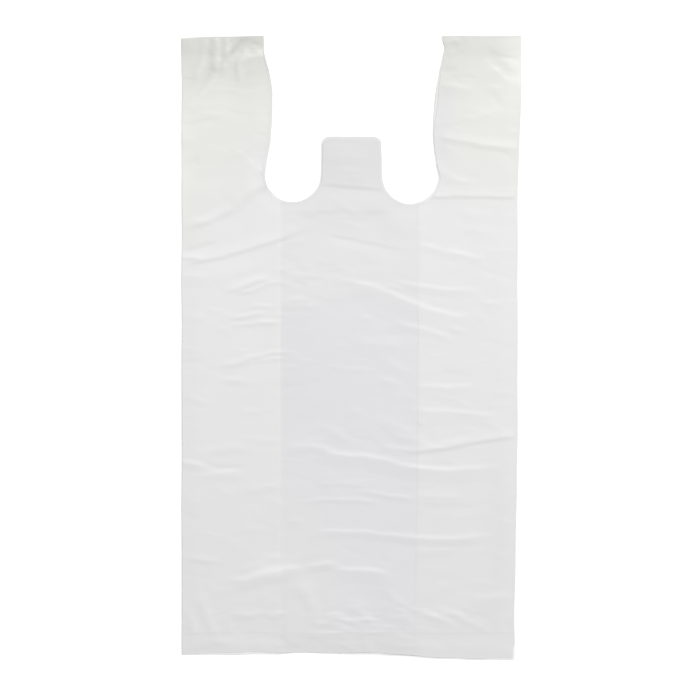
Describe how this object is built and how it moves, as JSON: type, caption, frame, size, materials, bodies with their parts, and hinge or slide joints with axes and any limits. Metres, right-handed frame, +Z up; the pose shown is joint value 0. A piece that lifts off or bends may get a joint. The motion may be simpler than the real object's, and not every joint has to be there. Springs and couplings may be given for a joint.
{
  "type": "plastic carrier bag",
  "caption": "Empty white film carrier bag with loop handles, side gussets, a notched mouth with a centre tab and welds across its foot and handle tops, lying flat and creased.",
  "frame": {"origin": "centre of the bag's outline, on the surface that it lies on", "axes": "+Y along the bag from its foot to its handle tops, +Z up out of the front panel, +X to the right seen from above with the handles away"},
  "size_m": [0.3049, 0.5588, 0.0064],
  "materials": {
    "film": "thin, slightly translucent film with a soft sheen"
  },
  "bodies": {
    "root": {"carrier_bag": "film"}
  },
  "joints": []
}
